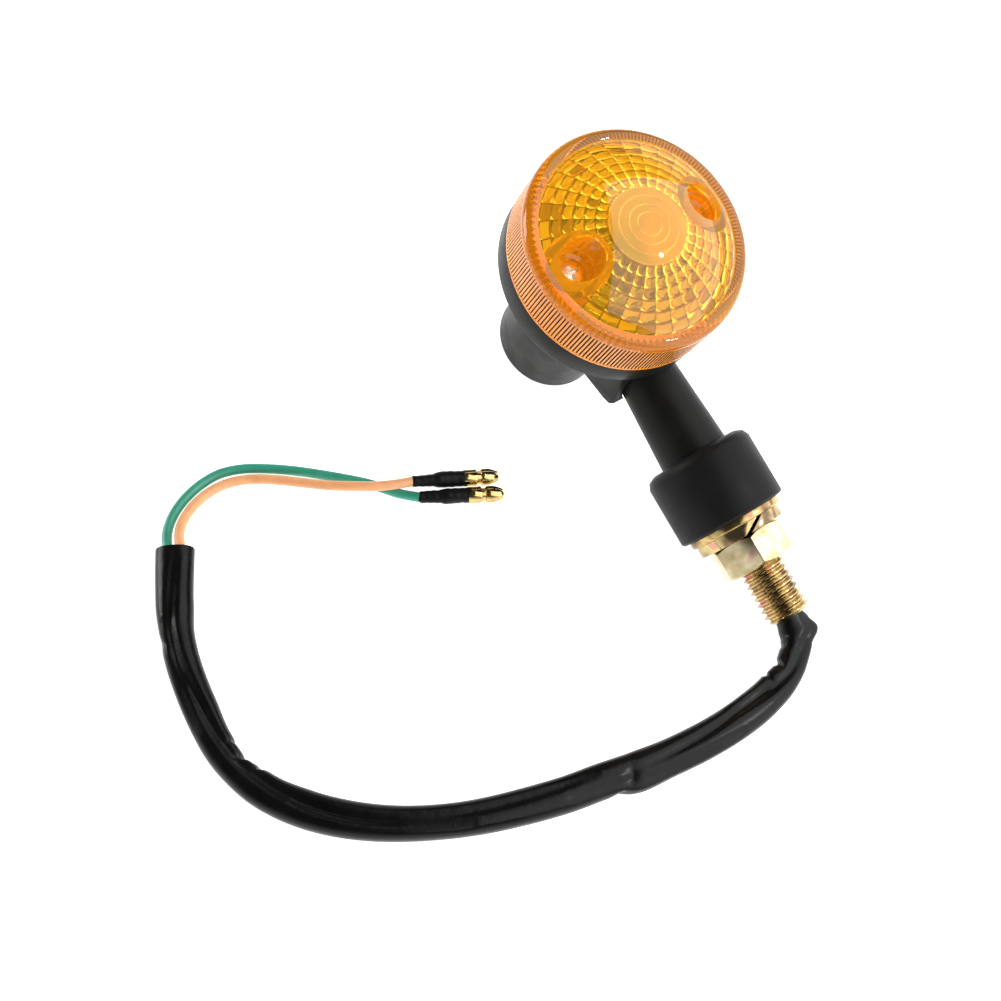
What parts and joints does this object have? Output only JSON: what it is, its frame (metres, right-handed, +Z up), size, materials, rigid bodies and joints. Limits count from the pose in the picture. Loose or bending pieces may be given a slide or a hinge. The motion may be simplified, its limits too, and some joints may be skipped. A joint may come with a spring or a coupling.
{
  "type": "motorcycle turn signal",
  "caption": "Small round turn signal lamp with a ribbed amber lens, bulb and socket inside, plastic stem, rubber collar, threaded hollow mounting stud and a two-wire lead.",
  "frame": {"origin": "on the table under the middle of the rigid lamp's box, with the lamp lying on the rim of its bulb boss and the end of its stud", "axes": "+Z up from the table, +X horizontal, from the lamp head towards the stud's end, +Y to the left of that"},
  "size_m": [0.116, 0.1434, 0.0664],
  "materials": {
    "amber_lens": "clear moulded, ribbed side",
    "black_plastic": "satin moulded",
    "seal_rubber": "matt",
    "bright_reflector": "vacuum metallised",
    "screw_steel": "nickel plated",
    "lamp_glass": "clear",
    "lamp_cap": "plated brass",
    "lamp_insulator": "black glass",
    "solder": "soldered",
    "filament_wire": "drawn wire",
    "zinc_plated": "yellow zinc plated",
    "spring_steel": "plain",
    "socket_board": "pressed board",
    "collar_rubber": "satin",
    "sleeve_vinyl": "glossy soft vinyl",
    "green_vinyl": "soft vinyl",
    "orange_vinyl": "soft vinyl",
    "heat_shrink": "shrunk tube",
    "terminal_brass": "bright"
  },
  "bodies": {
    "root": {"lens": "amber_lens", "lens_seal": "seal_rubber", "reflector": "bright_reflector", "housing": "black_plastic", "lens_screws": "screw_steel", "socket_shell": "zinc_plated", "contact_spring": "spring_steel", "socket_base": "socket_board", "stem": "black_plastic", "stem_screw": "screw_steel", "mounting_collar": "collar_rubber", "stud": "zinc_plated", "orange_inner_lead": "orange_vinyl", "green_inner_lead": "green_vinyl", "cable_sleeve": "sleeve_vinyl", "green_wire": "green_vinyl", "orange_wire": "orange_vinyl", "green_heat_shrink": "heat_shrink", "orange_heat_shrink": "heat_shrink", "green_bullet": "terminal_brass", "orange_bullet": "terminal_brass"},
    "plunger": {"contact_plunger": "socket_board", "plunger_rivet": "terminal_brass"},
    "bulb": {"bulb_glass": "lamp_glass", "bulb_base": "lamp_cap", "bayonet_pins": "lamp_cap", "bulb_filament": "filament_wire", "bulb_insulator": "lamp_insulator", "bulb_contact": "solder"},
    "washers": {"flat_washer": "zinc_plated", "spring_washer": "zinc_plated"},
    "nut": {"hex_nut": "zinc_plated"}
  },
  "joints": [
    {"name": "contact_push", "type": "slide", "parent": "root", "child": "plunger", "axis": [-0.3485, 0, -0.9373], "range_m": [0, 0.002], "stiffness_N_per_m": 800, "springref_m": -0.003, "deforming": ["contact_spring", "orange_inner_lead"]},
    {"name": "bulb_turn", "type": "hinge", "parent": "plunger", "child": "bulb", "pos_m": [-0.03175, 0, 0.02514], "axis": [0.3485, 0, 0.9373], "range_deg": [0, 25]},
    {"name": "nut_travel", "type": "slide", "parent": "root", "child": "washers", "axis": [0.9373, 0, -0.3485], "range_m": [0, 0.012]},
    {"name": "nut_turn", "type": "hinge", "parent": "washers", "child": "nut", "pos_m": [0.03372, 0, 0.0104], "axis": [0.9373, 0, -0.3485], "range_deg": [0, 2881]}
  ],
  "couplings": [
    {"joint": "nut_turn", "follows": "nut_travel", "rad_per_m": 4188.8}
  ]
}
